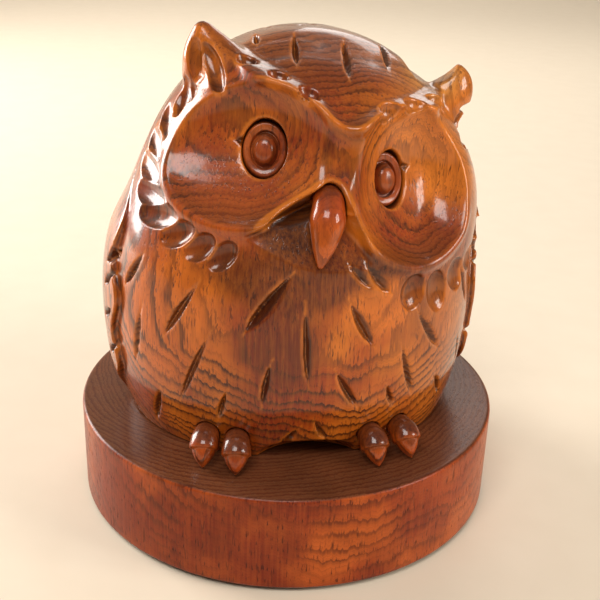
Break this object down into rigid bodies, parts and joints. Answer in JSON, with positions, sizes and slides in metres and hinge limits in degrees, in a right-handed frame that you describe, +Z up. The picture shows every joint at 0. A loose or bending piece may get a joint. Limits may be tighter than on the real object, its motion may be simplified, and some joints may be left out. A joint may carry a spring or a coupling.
{
  "type": "carved wooden figurine",
  "caption": "Free-standing carved wooden owl, let-in eyes, beak and toes, pegged and screwed to a round turned wooden base on felt pads.",
  "frame": {"origin": "on the floor under the centre of the round base, at the underside of the felt pads", "axes": "+Z up through the owl, -Y towards its front, +X towards its left side"},
  "size_m": [0.165, 0.165, 0.1849],
  "materials": {
    "owl_wood": "clear gloss lacquer over carved and gouged wood",
    "inlay_wood": "clear gloss lacquer",
    "base_wood": "thin satin lacquer over end grain",
    "dowel_wood": "bare beech",
    "screw_steel": "zinc plated",
    "felt": "pressed felt"
  },
  "bodies": {
    "root": {"base_disc": "base_wood", "owl_body": "owl_wood", "beak": "inlay_wood", "eye_right": "inlay_wood", "eye_left": "inlay_wood", "toe_right_outer": "inlay_wood", "toe_right_inner": "inlay_wood", "toe_left_inner": "inlay_wood", "toe_left_outer": "inlay_wood", "dowel_front": "dowel_wood", "dowel_back": "dowel_wood", "base_screw_right": "screw_steel", "base_screw_left": "screw_steel", "felt_pad_1": "felt", "felt_pad_2": "felt", "felt_pad_3": "felt", "felt_pad_4": "felt"}
  },
  "joints": []
}
